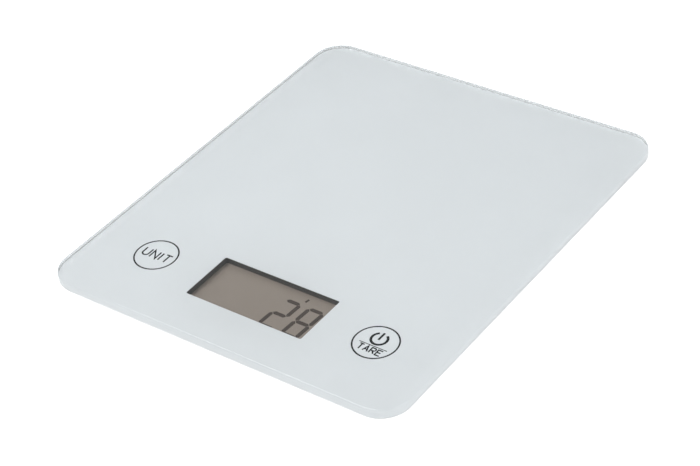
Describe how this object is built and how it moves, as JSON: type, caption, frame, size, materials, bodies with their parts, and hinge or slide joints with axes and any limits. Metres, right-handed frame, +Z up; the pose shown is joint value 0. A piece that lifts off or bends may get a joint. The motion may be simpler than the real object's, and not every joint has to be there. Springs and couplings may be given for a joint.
{
  "type": "kitchen scale",
  "caption": "Slim kitchen scale: glass weighing platform with rounded corners, display window between two touch keys, moulded tray on four load-cell feet.",
  "frame": {"origin": "on the surface that the scale stands on, under the middle of the glass platform", "axes": "+Z up, +X to the user's right, +Y away from the user; the display is at -Y"},
  "size_m": [0.2, 0.23, 0.017],
  "materials": {
    "clear_glass": "Tempered float glass, fire-polished face, ground and polished edges",
    "white_print": "Even white enamel printed on the underside of the glass",
    "white_plastic": "Moulded ABS with a fine spark texture",
    "black_plastic": "Moulded black ABS, satin",
    "grey_plastic": "Moulded grey ABS and grey cable jacket",
    "grey_rubber": "Soft non-slip rubber",
    "foam_tape": "Double-sided foam tape",
    "display_glass": "Liquid crystal cell with warm grey polariser",
    "board_laminate": "Glass-epoxy laminate with green solder mask",
    "chip_resin": "Black encapsulating resin",
    "capacitor_ceramic": "Fired tan ceramic",
    "bright_steel": "Nickel-plated and spring steel, fine grain",
    "copper_foil": "Copper foil with conductive adhesive",
    "red_wire": "Red wire insulation",
    "black_wire": "Black wire insulation"
  },
  "bodies": {
    "scale_body": {"glass_platform": "clear_glass", "white_back_print": "white_print", "mounting_tape": "foam_tape", "base_tray": "white_plastic", "display_frame": "black_plastic", "display_polariser": "display_glass", "display_front_glass": "display_glass", "display_rear_glass": "display_glass", "display_reflector": "display_glass", "display_contact_strip": "grey_rubber", "circuit_board": "board_laminate", "controller_chip": "chip_resin", "filter_capacitor_1": "capacitor_ceramic", "filter_capacitor_2": "capacitor_ceramic", "board_screw_1": "bright_steel", "board_screw_2": "bright_steel", "board_screw_3": "bright_steel", "board_screw_4": "bright_steel", "unit_touch_pad": "copper_foil", "unit_touch_lead": "copper_foil", "tare_touch_pad": "copper_foil", "tare_touch_lead": "copper_foil", "front_left_foot": "grey_plastic", "front_left_foot_pad": "grey_rubber", "front_left_load_cell": "bright_steel", "front_left_strain_gauge": "copper_foil", "front_left_cell_clamp": "white_plastic", "front_left_cell_ribbon": "grey_plastic", "front_right_foot": "grey_plastic", "front_right_foot_pad": "grey_rubber", "front_right_load_cell": "bright_steel", "front_right_strain_gauge": "copper_foil", "front_right_cell_clamp": "white_plastic", "front_right_cell_ribbon": "grey_plastic", "rear_left_foot": "grey_plastic", "rear_left_foot_pad": "grey_rubber", "rear_left_load_cell": "bright_steel", "rear_left_strain_gauge": "copper_foil", "rear_left_cell_clamp": "white_plastic", "rear_left_cell_ribbon": "grey_plastic", "rear_right_foot": "grey_plastic", "rear_right_foot_pad": "grey_rubber", "rear_right_load_cell": "bright_steel", "rear_right_strain_gauge": "copper_foil", "rear_right_cell_clamp": "white_plastic", "rear_right_cell_ribbon": "grey_plastic", "coin_cell": "bright_steel", "battery_negative_contact": "bright_steel", "battery_positive_contact": "bright_steel", "battery_negative_lead": "black_wire", "battery_positive_lead": "red_wire"},
    "battery_door_body": {"battery_door": "white_plastic"}
  },
  "joints": [
    {"name": "battery_door_hinge", "type": "hinge", "parent": "scale_body", "child": "battery_door_body", "pos_m": [0, -0.00585, 0.0039], "axis": [1, 0, 0], "range_deg": [0, 80]}
  ]
}
